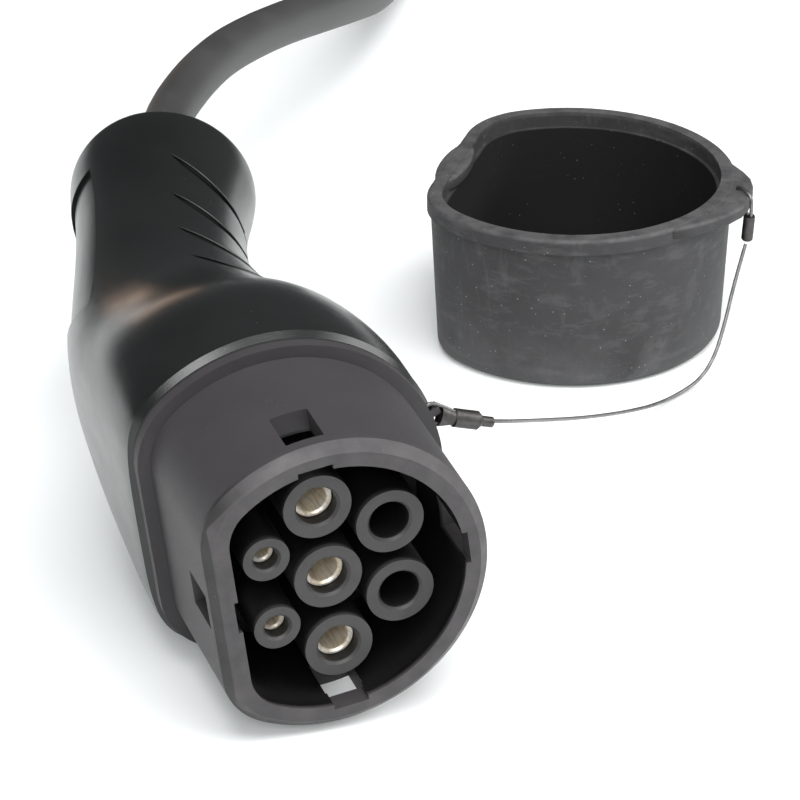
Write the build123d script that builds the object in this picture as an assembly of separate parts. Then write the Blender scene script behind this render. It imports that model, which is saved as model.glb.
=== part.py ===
from build123d import *
import math
import os

# Single-phase Type 2 vehicle connector, lying on its side with its dust cap beside it.
# Plug frame: origin at the middle of the rim, +Y back along the nose axis, +X towards the
# finger side of the handle, +Z up. lay_down() puts what is built there on the table.

# ---------------------------------------------------------------- nose moulding
rim_r = 31.75             # round side of the D, from the nose axis
rim_flat = 23.8           # nose axis to the flat side
rim_corner = 14.0         # corner between the flat and the round side
nose_wall = 5.0
nose_len = 33.4           # rim to the front of the flange
rim_chamfer = 2.0
flange_out = 2.6          # how far the flange stands out of the nose wall
flange_t = 2.4
spigot_len = 5.0          # part of the nose that sits inside the shell
spigot_play = 0.8         # between the spigot and the shell
ledge_depth = 1.0         # step inside the nose that the carrier seats against
window_w = 7.6
window_l = 10.0
window_y = 4.4            # rim to the near edge of a window
guide_w = 7.0
guide_depth = 0.8
lug_angle = 15.0          # place of the lanyard lug round the flange
lug_hole_d = 2.0
lug_bar = 1.1             # material outside the lug's hole
lug_w = 2.4
lug_t = 1.6

# ---------------------------------------------------------------- contacts and their carrier
power_pitch = 16.2        # L1 to PE to N
phase_row = 13.6          # PE row to the row of the two empty places
signal_row = 11.4         # PE row to the CP and PP row
signal_pitch = 15.9
row_shift = 0.35          # PE row from the nose axis, away from the flat
sleeve_d = 13.6
signal_sleeve_d = 9.3
sleeve_y = 4.3            # rim to the faces of the sleeves
carrier_y = 28.0          # rim to the carrier's base plate
carrier_t = 6.0
power_hole_d = 8.1
signal_hole_d = 4.9
hole_lead_in = 0.5
contact_set = 3.0         # contact rim below the sleeve's face
power_bore_d = 6.0
power_bore_l = 22.0
signal_bore_d = 3.0
signal_bore_l = 17.0
contact_fit = 0.1         # running clearance of a contact in its hole, on the radius
contact_slit = 0.55
slit_len = 12.0
collar_out = 1.0          # collar that stops a contact at the back of the plate
collar_t = 1.6
barrel_len = 9.0
power_barrel_d = 5.6
signal_barrel_d = 3.4
retainer_t = 3.0
retainer_screw_r = 21.5   # screw places from the nose axis
retainer_screw_angles = (50.0, 180.0, 310.0)
screw_d = 3.0
screw_head_d = 5.5
screw_head_t = 1.8
fit_gap = 0.15            # general clearance between fixed pieces
through = 60.0            # length of a cut that goes right through

# ---------------------------------------------------------------- shell
shell_wall = 3.0
shell_front_step = 1.0    # the shell stands this much outside the flange
shell_edge = 1.1          # bevel round the shell's mouth
butt_round = 2.4
section_points = 24
section_sharpness = 14.0  # how tightly the flat side meets the round side
seal_t = 0.6
gill_depth = 1.0
recess_depth = 0.8

gill_w = 1.5
gill_sag = 1.6            # how far a gill bows towards the nose
gill_start = (5.0, 6.6)   # a gill's ends: out from the handle's middle line, and along it
gill_end = (20.5, -3.4)
gill_count = 4
gill_first = 135.0
gill_pitch = 14.2
recess_y = (99.0, 150.0)
recess_half_h = 14.5
recess_slant = 9.0

# ---------------------------------------------------------------- cable and its clamp
cable_d = 10.5
cable_inside = 26.5       # sheath inside the handle, measured from the butt
cable_first_run = 20.0    # straight run behind the butt
cable_last_run = 24.0     # straight run before the coil's stub
core_d = 3.6
signal_core_d = 1.9
core_slots = {             # angle and reach of each core in the cable
    "l1": (270.0, 2.45),
    "n": (30.0, 2.45),
    "pe": (150.0, 2.45),
    "cp": (210.0, 4.15),
}
grommet_d = 19.0
grommet_out = 5.0
grommet_seat = 4.0
clamp_seat_y = 7.0        # butt face to the back of the clamp seat
clamp_seat_t = 9.0
clamp_bar_w = 9.0
clamp_bar_t = 2.5
clamp_screw_gap = 9.3     # cable axis to each clamp screw
clamp_grip = 0.05

resistor_d = 2.3
resistor_len = 5.0
resistor_lead_d = 0.6

# ---------------------------------------------------------------- resting place on the table
dip = 4.0                 # the nose points down this much
roll = 8.7                # the finger side is up this much
axis_height = 32.965       # rim centre above the table
middle = (58.93, 94.65)   # rim centre to the middle of the footprint

# ---------------------------------------------------------------- dust cap
cap_place = (109.5, 155.1)
cap_turn = 143.8          # direction of the cap's flat side, from +X
cap_h = 37.0
cap_floor = 3.0
cap_clear = 0.35          # cap bore over the nose
cap_wall = 3.4
cap_lip_h = 3.5
cap_lip_step = 0.9        # the lip's bore is wider than the nose bore by this
cap_bead = 0.8            # outer bead at the lip
cap_taper = 1.8           # outer wall drawn in at the base
cap_ear_t = 3.0
# Corners of the ear and its hole: out from the nose's round side, and angle or offset.
cap_ear_outline = ((1.85, 30.0), (9.25, 14.0), (9.25, -3.0), (1.85, -17.0))
cap_ear_hole = (5.35, 1.4)
cap_ear_hole_d = 2.0
cap_loop_lean = -38.8     # the loop leaves the ear this way
cap_loop_reach = 6.4      # ear hole to the crimp's axis
cap_tab_reach = 2.2
cap_tab_w = 17.0

# ---------------------------------------------------------------- lanyard
lanyard_lean = -26.0      # the crimp points this way from the lug
wire_d = 0.8
wire_first_run = 12.0     # straight wire out of the crimp
loop_r = 2.1
crimp_d = 3.8
crimp_flare_d = 4.4
crimp_len = 8.4
crimp_tail_d = 2.0
crimp_tail_len = 2.6
cap_crimp_d = 2.6
cap_crimp_len = 6.0

# ---------------------------------------------------------------- coil of the unseen length
coil_mid_r = 60.0
coil_wide = 4             # turns side by side
coil_high = 3             # layers
coil_place = (112.4, 460.0)
coil_entry = -30.0        # the cable joins the coil at this angle
coil_tail_r = 50.0        # the last half turn lies on top
coil_tail_lift = 1.2      # its cable stands this much off the layer below
coil_tail_from = 100.0
coil_tail_angle = 120.0
coil_stub = 45.0          # straight stretch where the cable joins the coil
tie_t = 1.2
tie_w = 12.0
tie_gap = 1.0
tie_angles = (60.0, -70.0)
end_sleeve_d = 12.3
end_sleeve_len = 22.0
tail_core_len = 34.0
ferrule_d = 2.6
ferrule_len = 10.0
ferrule_collar_d = 3.9
ferrule_collar_len = 4.0


# ================================================================ profiles
def across(y):
    """Plane square to the nose axis at depth y, with +X right and +Z up."""
    return Plane(origin=(0, y, 0), x_dir=(1, 0, 0), z_dir=(0, -1, 0))


def d_sketch(inset=0.0):
    """D profile, its flat towards -X, set in from the rim's outer edge by inset."""
    radius = rim_r - inset
    flat = rim_flat - inset
    corner = max(rim_corner - inset, 1.0)
    face = Circle(radius) - Pos(-flat - radius, 0) * Rectangle(2 * radius, 2 * radius)
    return fillet(face.vertices(), corner)


def d_block(inset, y0, y1):
    """D-shaped block between two depths."""
    return extrude(across(y0) * d_sketch(inset), -(y1 - y0))


def rod(x, z, diameter, y0, y1):
    """Round rod parallel to the nose axis."""
    return extrude(across(y0) * Pos(x, z) * Circle(diameter / 2), -(y1 - y0))


def cord_path(points, share=0.45):
    """Straight runs joined by tangent arcs, each as large as its two runs allow."""
    corners = [Vector(*p) for p in points]
    radii = []
    for before, here, after in zip(corners, corners[1:], corners[2:]):
        first, second = here - before, after - here
        turn = math.radians(first.get_angle(second))
        radii.append(share * min(first.length, second.length) / math.tan(turn / 2))
    return FilletPolyline(*corners, radius=radii), radii


def tube(path, diameter):
    """Round cord swept along a path."""
    start = path.location_at(0)
    return sweep(Plane(origin=start.position, z_dir=path.tangent_at(0)) * Circle(diameter / 2), path=path)


# ================================================================ cord routes
# Points above the table, from the plan point of the rim centre.
cable_route = [
    (43.8, 216.2, 47.5),
    (70.6, 252.8, 38.5),
    (105.2, 294.4, 24.1),
    (126.0, 329.0, 11.0),
]
lanyard_route = [
    (67.3, 55.0, 29.5),
    (83.3, 79.9, 16.4),
    (98.1, 99.5, 5.7),
    (107.5, 107.0, 1.8),
    (115.9, 110.0, 0.7),
    (124.0, 114.0, 1.3),
    (128.8, 117.7, 4.5),
    (133.3, 122.2, 10.9),
    (137.3, 126.1, 18.4),
]

# ================================================================ contact layout
power_places = {
    "l1": (row_shift, power_pitch),
    "pe": (row_shift, 0.0),
    "n": (row_shift, -power_pitch),
}
empty_places = {
    "l2": (row_shift + phase_row, power_pitch / 2),
    "l3": (row_shift + phase_row, -power_pitch / 2),
}
signal_places = {
    "cp": (row_shift - signal_row, signal_pitch / 2),
    "pp": (row_shift - signal_row, -signal_pitch / 2),
}
contact_y = sleeve_y + contact_set
plate_back = carrier_y + carrier_t
collar_back = plate_back + collar_t
retainer_back = collar_back + retainer_t
barrel_back = collar_back + barrel_len
flange_back = nose_len + flange_t
shell_front = flange_back + seal_t


# ================================================================ nose
def lug_frame():
    """Plane at the flange's edge: x outwards, y along the nose axis, z round the flange."""
    a = math.radians(lug_angle)
    out = (math.cos(a), 0, math.sin(a))
    reach = rim_r + flange_out
    return Plane(origin=(reach * out[0], flange_back - lug_w / 2, reach * out[2]), x_dir=out,
                 z_dir=(-math.sin(a), 0, math.cos(a)))


def spigot_inset():
    """Inset of the part of the nose that slides into the shell."""
    return shell_wall - flange_out - shell_front_step + spigot_play


def make_nose():
    outer = d_block(0, 0, nose_len)
    rim_edges = outer.faces().sort_by(Axis.Y)[0].outer_wire().edges()
    outer = chamfer(rim_edges, rim_chamfer)
    nose = outer + d_block(-flange_out, nose_len, flange_back)
    nose += d_block(spigot_inset(), flange_back, flange_back + spigot_len)
    nose -= d_block(nose_wall, 0, carrier_y)
    nose -= d_block(nose_wall - ledge_depth, carrier_y, flange_back + spigot_len)
    for k, reach in enumerate((rim_r, rim_r, rim_flat, rim_r)):
        turn = Rot(0, -90.0 * k, 0)
        inner = reach - nose_wall
        cut = Box(2 * nose_wall + 2, window_l, window_w)
        nose -= turn * Pos(inner + nose_wall - 1, window_y + window_l / 2, 0) * cut
        groove = Box(2 * guide_depth, window_y + 2, guide_w)
        nose -= turn * Pos(inner, (window_y + 2) / 2 - 1, 0) * groove
    lug = lug_frame()
    reach = lug_hole_d + lug_bar + 0.1
    tab = lug * Pos((reach - 1) / 2, 0, 0) * Box(reach + 1, lug_w, lug_t)
    hole = lug * Pos(0.1 + lug_hole_d / 2, 0, 0) * Cylinder(lug_hole_d / 2, 3 * lug_t)
    return nose + tab - hole


def make_carrier():
    plate = d_block(nose_wall - ledge_depth + fit_gap, carrier_y, plate_back)
    for x, z in list(power_places.values()) + list(empty_places.values()):
        plate += rod(x, z, sleeve_d, sleeve_y, carrier_y + 1)
    for x, z in signal_places.values():
        plate += rod(x, z, signal_sleeve_d, sleeve_y, carrier_y + 1)
    for x, z in power_places.values():
        plate -= bell(x, z, power_hole_d, plate_back + 1)
    for x, z in empty_places.values():
        plate -= bell(x, z, power_hole_d, carrier_y)
    for x, z in signal_places.values():
        plate -= bell(x, z, signal_hole_d, plate_back + 1)
    for x, z in screw_places():
        plate -= rod(x, z, screw_d, plate_back - 4.5, plate_back + 1)
    return plate


def bell(x, z, diameter, y1):
    """Bore of a sleeve with a small lead-in at its mouth."""
    mouth = loft(Sketch() + [across(sleeve_y - 0.01) * Pos(x, z) * Circle(diameter / 2 + hole_lead_in),
                             across(sleeve_y + hole_lead_in) * Pos(x, z) * Circle(diameter / 2)])
    return rod(x, z, diameter, sleeve_y - 0.01, y1) + mouth


def screw_places():
    """Places of the retainer screws, square to the nose axis."""
    for angle in retainer_screw_angles:
        a = math.radians(angle)
        reach = min(retainer_screw_r, (rim_flat - 7.0) / max(-math.cos(a), 0.01))
        yield reach * math.cos(a), reach * math.sin(a)


def make_contact(place, hole_d, bore_d, bore_l, barrel_d, core, slits=(45,)):
    """Turned socket with a slit front, a collar and a solder barrel."""
    x, z = place
    body_d = hole_d - 2 * contact_fit
    piece = rod(x, z, body_d, contact_y, plate_back)
    piece += rod(x, z, hole_d + 2 * collar_out, plate_back, collar_back)
    piece += rod(x, z, barrel_d, collar_back, barrel_back)
    piece -= rod(x, z, bore_d, contact_y - 1, contact_y + bore_l)
    lead = (body_d - bore_d) / 4
    piece -= loft(Sketch() + [across(contact_y) * Pos(x, z) * Circle(bore_d / 2 + lead),
                              across(contact_y + lead) * Pos(x, z) * Circle(bore_d / 2)])
    for turn in slits:
        slit = Pos(x, contact_y + slit_len / 2 - 0.5, z) * Rot(0, turn, 0)
        piece -= slit * Box(2 * body_d, slit_len + 1, contact_slit)
    return piece - rod(x, z, core + 2 * contact_fit, barrel_back - 5, barrel_back + 1)


def make_retainer():
    plate = d_block(nose_wall - ledge_depth + 2 * fit_gap, collar_back, retainer_back)
    for x, z in power_places.values():
        plate -= rod(x, z, power_barrel_d + 2 * fit_gap, collar_back - 1, retainer_back + 1)
    for x, z in signal_places.values():
        plate -= rod(x, z, signal_barrel_d + 2 * fit_gap, collar_back - 1, retainer_back + 1)
    for x, z in screw_places():
        plate -= rod(x, z, screw_d + 2 * fit_gap, collar_back - 1, retainer_back + 1)
        plate += rod(x, z, screw_head_d, plate_back, collar_back)
        plate -= rod(x, z, screw_d + 2 * fit_gap, plate_back - 1, retainer_back + 1)
    return plate


def make_retainer_screws():
    screws = []
    for x, z in screw_places():
        shank = rod(x, z, screw_d - 0.1, plate_back - 4, retainer_back)
        head = rod(x, z, screw_head_d, retainer_back, retainer_back + screw_head_t)
        slot = Pos(x, retainer_back + screw_head_t, z) * Box(screw_head_d + 1, screw_head_t, 0.8)
        screws.append(shank + head - slot)
    return Compound(children=screws)


# ================================================================ shell
# Each station: depth, middle x, lean of the section, reach on the finger side, reach on the
# flat side, distance to the flat, half height.
front_r = rim_r + flange_out + shell_front_step
STATIONS = (
    (shell_front, 0.0, 0.0, front_r, front_r, rim_flat + flange_out + shell_front_step, front_r),
    (47.0, 0.0, 0.0, 35.0, 35.0, 27.6, 35.9),
    (57.0, 0.0, 0.0, 33.6, 33.6, 27.3, 34.9),
    (66.0, 0.0, 1.0, 31.6, 32.4, 26.9, 32.0),
    (75.0, 0.0, 2.5, 29.4, 31.0, 26.4, 27.6),
    (84.0, 0.0, 4.0, 26.6, 29.0, 25.8, 23.6),
    (94.0, 0.3, 6.0, 23.4, 26.0, 24.6, 20.6),
    (106.0, 1.2, 9.0, 20.6, 22.0, 24.0, 18.9),
    (118.0, 3.2, 12.5, 19.0, 19.6, 24.0, 18.3),
    (130.0, 6.3, 16.0, 18.5, 18.5, 24.0, 18.5),
    (141.0, 9.8, 18.0, 18.8, 18.6, 24.0, 19.3),
    (149.5, 12.7, 19.0, 19.8, 19.2, 24.0, 20.6),
    (156.5, 15.1, 19.0, 20.2, 19.6, 24.0, 21.3),
)


def station_plane(station):
    """Plane square to the shell's middle line at one station."""
    y, x, lean = station[:3]
    a = math.radians(lean)
    return Plane(origin=(x, y, 0), x_dir=(math.cos(a), -math.sin(a), 0),
                 z_dir=(math.sin(a), math.cos(a), 0))


def station_face(station, inset=0.0):
    """Closed section from its lowest point: an ellipse, limited on the flat side by the flat."""
    finger, back, flat, height = (value - inset for value in station[3:])
    points = []
    for k in range(section_points):
        a = 2 * math.pi * (k / section_points - 0.25)
        c, s = math.cos(a), math.sin(a)
        reach = 1 / math.hypot(c / (finger if c > 0 else back), s / height)
        if c < -1e-6:
            power = section_sharpness
            reach = (reach ** -power + (flat / -c) ** -power) ** (-1 / power)
        points.append((reach * c, reach * s))
    outline = Spline(*[Vector(px, py) for px, py in points], periodic=True)
    return station_plane(station) * make_face(Edge(outline.wrapped))


def skin(inset=0.0, last=None):
    """The shell's form, set in by inset."""
    return loft(Sketch() + [station_face(s, inset) for s in STATIONS[:last]])


def along_handle(distance):
    """Point and lean of the shell's middle line at one depth, between the stations."""
    for one, two in zip(STATIONS, STATIONS[1:]):
        if one[0] <= distance <= two[0]:
            share = (distance - one[0]) / (two[0] - one[0])
            return [a + share * (b - a) for a, b in zip(one, two)]
    return list(STATIONS[-1])


butt = station_plane(STATIONS[-1])
form = skin()
hollow = skin(shell_wall, -1)


def gill(depth):
    """Crescent prism that crosses the finger side of the handle at one depth."""
    frame = station_plane(along_handle(depth))
    start, end = (gill_start[0], gill_start[1]), (gill_end[0], gill_end[1])
    middle = ((start[0] + end[0]) / 2, (start[1] + end[1]) / 2)
    front = ThreePointArc(start, (middle[0] - gill_sag, middle[1] - gill_sag), end)
    back = ThreePointArc(start, (middle[0] - gill_sag + gill_w, middle[1] - gill_sag + gill_w), end)
    outline = Plane(origin=frame.origin, x_dir=frame.x_dir, z_dir=(0, 0, 1)) * make_face([front, back])
    return extrude(outline, 2 * front_r, both=True)


def recess_block():
    """Panel on the flat side of the handle, with a slanting end each way."""
    h, slant = recess_half_h, recess_slant
    y0, y1 = recess_y
    outline = Polyline((y0, h), (y1, h), (y1 + slant / 2, 0), (y1, -h), (y0, -h), (y0 + slant, 0),
                       close=True)
    panel = Plane(origin=(0, 0, 0), x_dir=(0, 1, 0), z_dir=(-1, 0, 0)) * make_face(outline)
    near = along_handle((y0 + y1) / 2)[1]
    return extrude(Pos(near, 0, 0) * panel, 3 * front_r)


def make_shell():
    end = form.faces().filter_by(GeomType.PLANE).sort_by(Axis.Y)[-1].outer_wire().edges()
    shell = fillet(end, butt_round)
    mouth = shell.faces().sort_by(Axis.Y)[0].outer_wire().edges()
    shell = chamfer(mouth, shell_edge)
    seat_front = butt * Pos(0, 0, -clamp_seat_y - clamp_seat_t - 100) * Box(300, 300, 200)
    shell -= hollow & seat_front
    gill_floor = skin(gill_depth)
    for k in range(gill_count):
        shell -= (gill(gill_first - k * gill_pitch) & form) - gill_floor
    shell -= (recess_block() & form) - skin(recess_depth)
    shell -= butt * Cylinder(cable_d / 2 + fit_gap, 2 * through)
    shell -= butt * Pos(0, 0, -grommet_seat / 2 + 0.5) * Cylinder(grommet_d / 2, grommet_seat + 1)
    for side in (-1, 1):
        place = butt * Pos(side * clamp_screw_gap, 0, -clamp_seat_y - clamp_seat_t)
        shell -= place * Cylinder(screw_d / 2, 14)
    return shell


def make_seal():
    """Gasket between the flange and the shell's mouth."""
    ring = d_block(-flange_out, flange_back, shell_front)
    return ring - d_block(spigot_inset() - fit_gap, flange_back - 1, shell_front + 1)


def make_grommet():
    """Soft collar round the cable, tapered outside the butt."""
    seat = butt * Pos(0, 0, -grommet_seat / 2) * Cylinder(grommet_d / 2 - fit_gap, grommet_seat)
    cone = butt * Pos(0, 0, grommet_out / 2) * Cone(grommet_d / 2 - fit_gap, cable_d / 2 + 1.2, grommet_out)
    bore = butt * Cylinder(cable_d / 2 + fit_gap, through)
    return seat + cone - bore


def clamp_frame(depth):
    """Plane across the cable, depth in front of the butt."""
    return butt * Pos(0, 0, -depth)


def make_clamp():
    """Bar that grips the cable against the seat inside the handle."""
    middle = clamp_seat_y + clamp_seat_t + clamp_bar_w / 2
    length = 2 * clamp_screw_gap + screw_head_d + 0.5
    height = cable_d + 2 * clamp_bar_t
    bar = clamp_frame(middle) * Box(length, height, clamp_bar_w)
    bar -= clamp_frame(middle) * Cylinder(cable_d / 2 + clamp_grip, 3 * clamp_bar_w)
    for side in (-1, 1):
        bar -= clamp_frame(middle) * Pos(side * clamp_screw_gap, 0, 0) * Cylinder(screw_d / 2 + fit_gap, through)
    return bar


def make_clamp_screws():
    front = clamp_seat_y + clamp_seat_t + clamp_bar_w
    screws = []
    for side in (-1, 1):
        place = clamp_frame(front) * Pos(side * clamp_screw_gap, 0, 0)
        shank = place * Pos(0, 0, (clamp_bar_w + 6) / 2) * Cylinder(screw_d / 2 - 0.05, clamp_bar_w + 6)
        head = place * Pos(0, 0, -screw_head_t / 2) * Cylinder(screw_head_d / 2, screw_head_t)
        slot = place * Pos(0, 0, -screw_head_t) * Box(screw_head_d + 1, 0.8, screw_head_t)
        screws.append(shank + head - slot)
    return Compound(children=screws)


# ================================================================ inner wiring
def core_slot(name):
    """Place of a core across the cable's section."""
    angle, reach = core_slots[name]
    a = math.radians(angle)
    return reach * math.cos(a), reach * math.sin(a)


def make_core(name, place, diameter):
    """Insulated core from a contact's barrel to the end of the sheath."""
    x, z = place
    end = clamp_frame(cable_inside + 0.2) * Pos(*core_slot(name), 0)
    near = clamp_frame(cable_inside + 14) * Pos(*core_slot(name), 0)
    points = [(x, barrel_back - 4.8, z), (x, barrel_back + 9, z), tuple(near.position), tuple(end.position)]
    return tube(cord_path(points)[0], diameter)


def make_resistor():
    """Coding resistor between the PP and PE barrels, with its two leads."""
    (x0, z0), (x1, z1) = signal_places["pp"], power_places["pe"]
    y = retainer_back + 2.2
    start, end = Vector(x0, y, z0), Vector(x1, y, z1)
    way = (end - start).normalized()
    first = start + way * (signal_barrel_d / 2 + 0.1)
    last = end - way * (power_barrel_d / 2 + 0.1)
    middle = (first + last) / 2
    body = Plane(origin=middle - way * resistor_len / 2, z_dir=way) * Circle(resistor_d / 2)
    lead = Plane(origin=first, z_dir=way) * Circle(resistor_lead_d / 2)
    return extrude(lead, (last - first).length) + extrude(body, resistor_len)


# ================================================================ dust cap
def make_cap():
    bore = -cap_clear
    lip_bore = bore - cap_lip_step
    wall = bore - cap_wall
    lip_z = cap_h - cap_lip_h
    base = loft(Sketch() + [d_sketch(wall + cap_taper), Pos(0, 0, lip_z) * d_sketch(wall)])
    base = fillet(base.faces().sort_by(Axis.Z)[0].outer_wire().edges(), 3.0)
    lip = extrude(Pos(0, 0, lip_z) * d_sketch(wall - cap_bead), cap_lip_h)
    lip = fillet(lip.faces().sort_by(Axis.Z)[-1].outer_wire().edges(), 0.9)
    ear_z = cap_h - cap_ear_t
    corners = []
    for out, angle in cap_ear_outline:
        a = math.radians(angle)
        corners.append(((rim_r + out) * math.cos(a), (rim_r + out) * math.sin(a)))
    ear = make_face(Polyline(*corners, close=True))
    ear = fillet(ear.vertices().sort_by(Axis.X)[-2:], 1.8)
    cap = base + lip + extrude(Pos(0, 0, ear_z) * ear, cap_ear_t - 0.4)
    tab = Pos(-rim_flat + wall - cap_bead, 0) * RectangleRounded(2 * cap_tab_reach, cap_tab_w, 2.0)
    cap += extrude(Pos(0, 0, ear_z) * tab, cap_ear_t - 0.4)
    cap -= extrude(Pos(0, 0, cap_floor) * d_sketch(bore), cap_h)
    cap -= extrude(Pos(0, 0, lip_z) * d_sketch(lip_bore), cap_h)
    return cap - Pos(*ear_hole(), cap_h) * Cylinder(cap_ear_hole_d / 2, 3 * cap_ear_t)


def ear_hole():
    """Middle of the ear's hole, from the cap's middle."""
    return rim_r + cap_ear_hole[0], cap_ear_hole[1]


cap_frame = Pos(cap_place[0], cap_place[1], 0) * Rot(0, 0, cap_turn - 180)


# ================================================================ lanyard
def loop_frame_plug():
    """Place of the plug-side loop: x along the crimp, origin in the lug's bar."""
    a = math.radians(lug_angle)
    reach = rim_r + flange_out + 0.1 + lug_hole_d + lug_bar / 2
    bar = Pos(reach * math.cos(a), flange_back - lug_w / 2, reach * math.sin(a))
    return bar * Rot(90, 0, 0) * Rot(0, 0, lanyard_lean)


def bent_wire(points, radii, place):
    """Wire bent in one plane."""
    return tube(FilletPolyline(*[(place * Pos(px, py, 0)).position for px, py in points], radius=radii), wire_d)


leg = wire_d / 2 + 0.1    # each leg of a loop from the crimp's axis
crimp_start = 3.2


def make_plug_loop():
    r, s = loop_r, crimp_start
    points = [(s + 2.6, leg), (s + 0.2, leg), (1.0, r), (-r, r), (-r, -r), (1.0, -r), (s + 0.2, -leg),
              (s + 2.6, -leg)]
    return bent_wire(points, [0.8, 0.8, r - 0.02, r - 0.02, 0.8, 0.8], loop_frame_plug())


def make_plug_crimp():
    s = crimp_start
    flare, body, tail = crimp_flare_d / 2, crimp_d / 2, crimp_tail_d / 2
    bore = leg + wire_d / 2 + 0.1
    end = s + crimp_len
    profile = Polyline((s, bore), (s, flare), (s + 1.4, body), (end - 0.4, body), (end, body - 0.4),
                       (end, tail), (end + crimp_tail_len, tail), (end + crimp_tail_len, 0), (s + 3, 0),
                       (s + 3, bore), close=True)
    return loop_frame_plug() * revolve(make_face(profile), Axis.X)


def loop_frame_cap():
    """Place of the cap-side loop: x out of the ear's edge, y up."""
    return cap_frame * Pos(*ear_hole(), 0) * Rot(0, 0, cap_loop_lean) * Rot(90, 0, 0)


cap_crimp_top = cap_h - cap_ear_t - 1.8


def make_cap_loop():
    top = cap_h + wire_d / 2 + 0.2
    under = cap_h - cap_ear_t - wire_d / 2 - 0.35
    out = cap_loop_reach
    points = [(out - leg, cap_crimp_top - 2), (out - leg, under), (0, under), (0, top), (out + leg, top),
              (out + leg, cap_crimp_top - 2)]
    return bent_wire(points, [0.75, 0.75, 0.9, 0.9], loop_frame_cap())


def make_cap_crimp():
    out, top = cap_loop_reach, cap_crimp_top
    place = loop_frame_cap() * Pos(out, top - cap_crimp_len / 2, 0) * Rot(90, 0, 0)
    bore = loop_frame_cap() * Pos(out, top, 0) * Rot(90, 0, 0)
    crimp = place * Cylinder(cap_crimp_d / 2, cap_crimp_len)
    return crimp - bore * Cylinder(leg + wire_d / 2 + 0.1, 5)


# ================================================================ cable, coil and bare end
def coil_turn_z(layer):
    """Height of a layer's cable centre above the table."""
    return tie_t + tie_gap / 2 + cable_d * (layer + 0.5)


def make_coil():
    """Outer shape of the coil, with the stub where the cable joins it and the turn on top."""
    base = tie_t + tie_gap / 2
    half = cable_d * coil_wide / 2
    ring = Pos(0, 0, base) * extrude(Circle(coil_mid_r + half) - Circle(coil_mid_r - half), cable_d * coil_high)
    a = math.radians(coil_entry)
    outer = coil_mid_r + half - cable_d / 2
    way = (-math.sin(a), math.cos(a))
    start = (outer * math.cos(a) - coil_stub * way[0], outer * math.sin(a) - coil_stub * way[1])
    stub = Plane(origin=(start[0], start[1], coil_turn_z(0)), z_dir=(way[0], way[1], 0)) * Circle(cable_d / 2)
    ring += extrude(stub, coil_stub + 2)
    top = coil_turn_z(coil_high) + coil_tail_lift
    wedge = Circle(coil_tail_r + cable_d / 2) - Circle(coil_tail_r - cable_d / 2)
    wedge = wedge & sector(coil_tail_from, coil_tail_from + coil_tail_angle, 2 * coil_mid_r)
    low = top - cable_d / 2 - coil_tail_lift - 0.5
    ring += extrude(Pos(0, 0, low) * wedge, top + cable_d / 2 - low)
    return Pos(coil_place[0], coil_place[1], 0) * ring


def sector(a0, a1, reach):
    """Flat sector of a disc between two angles under 240 degrees apart."""
    count = 6
    rays = [math.radians(a0 + (a1 - a0) * k / count) for k in range(count + 1)]
    return make_face(Polyline((0, 0), *[(reach * math.cos(a), reach * math.sin(a)) for a in rays], close=True))


def make_tie(angle):
    """Strap round the coil's section."""
    wide, high = cable_d * coil_wide + tie_gap, cable_d * coil_high + tie_gap
    tie = Box(wide + 2 * tie_t, tie_w, high + 2 * tie_t) - Box(wide, tie_w + 2, high)
    tie = Pos(coil_mid_r, 0, tie_t + high / 2) * tie
    return Pos(coil_place[0], coil_place[1], 0) * Rot(0, 0, angle) * tie


def tail_frame():
    """Plane across the lead where it leaves the turn on top, z along the lead."""
    a = math.radians(coil_tail_from + coil_tail_angle)
    x, y = coil_place[0] + coil_tail_r * math.cos(a), coil_place[1] + coil_tail_r * math.sin(a)
    return Plane(origin=(x, y, coil_turn_z(coil_high) + coil_tail_lift), z_dir=(-math.sin(a), math.cos(a), 0),
                 x_dir=(math.cos(a), math.sin(a), 0))


def tail_rod(across_x, across_y, diameter, z0, z1):
    """Round piece of the bare end, parallel to the lead."""
    return extrude(tail_frame() * Pos(across_x, across_y, z0) * Circle(diameter / 2), z1 - z0)


tail_core_end = end_sleeve_len + tail_core_len


def make_ferrule(name):
    """Crimped end of one core: plastic collar and metal sleeve."""
    scale = signal_core_d / core_d if name == "cp" else 1.0
    x, y = core_slot(name)
    collar = tail_rod(x, y, ferrule_collar_d * scale, tail_core_end, tail_core_end + ferrule_collar_len)
    return collar + tail_rod(x, y, ferrule_d * scale, tail_core_end, tail_core_end + ferrule_len)


# ================================================================ placing and writing
resting = Pos(0, 0, axis_height) * Rot(dip, 0, 0) * Rot(0, -roll, 0)


def lay_down(piece):
    """Puts a piece of the plug on the table."""
    return set_down(resting * piece)


def set_down(piece):
    """Puts a piece already built above the table in the part's frame."""
    return Pos(-middle[0], -middle[1], 0) * piece


def above_table(place):
    """Point of a place on the plug, in the frame of the routes."""
    return tuple((resting * place).position)


def full_cable_route():
    """Route from the end of the sheath inside the handle to the coil's stub."""
    a = math.radians(coil_entry)
    outer = coil_mid_r + cable_d * (coil_wide - 1) / 2
    inside, behind = [above_table(butt.location * Pos(0, 0, z)) for z in (-cable_inside, cable_first_run)]
    ends = []
    for back in (coil_stub + cable_last_run, coil_stub):
        ends.append((coil_place[0] + outer * math.cos(a) + back * math.sin(a),
                     coil_place[1] + outer * math.sin(a) - back * math.cos(a), coil_turn_z(0)))
    return [inside, behind] + cable_route + ends


def full_lanyard_route():
    """Route between the far ends of the two crimps."""
    crimp_end = crimp_start + crimp_len + crimp_tail_len
    start, after = [above_table(loop_frame_plug() * Pos(x, 0, 0)) for x in (crimp_end, crimp_end + wire_first_run)]
    finish = loop_frame_cap() * Pos(cap_loop_reach, cap_crimp_top - cap_crimp_len - 0.1, 0)
    return [start, after] + lanyard_route + [tuple(finish.position)]


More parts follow.
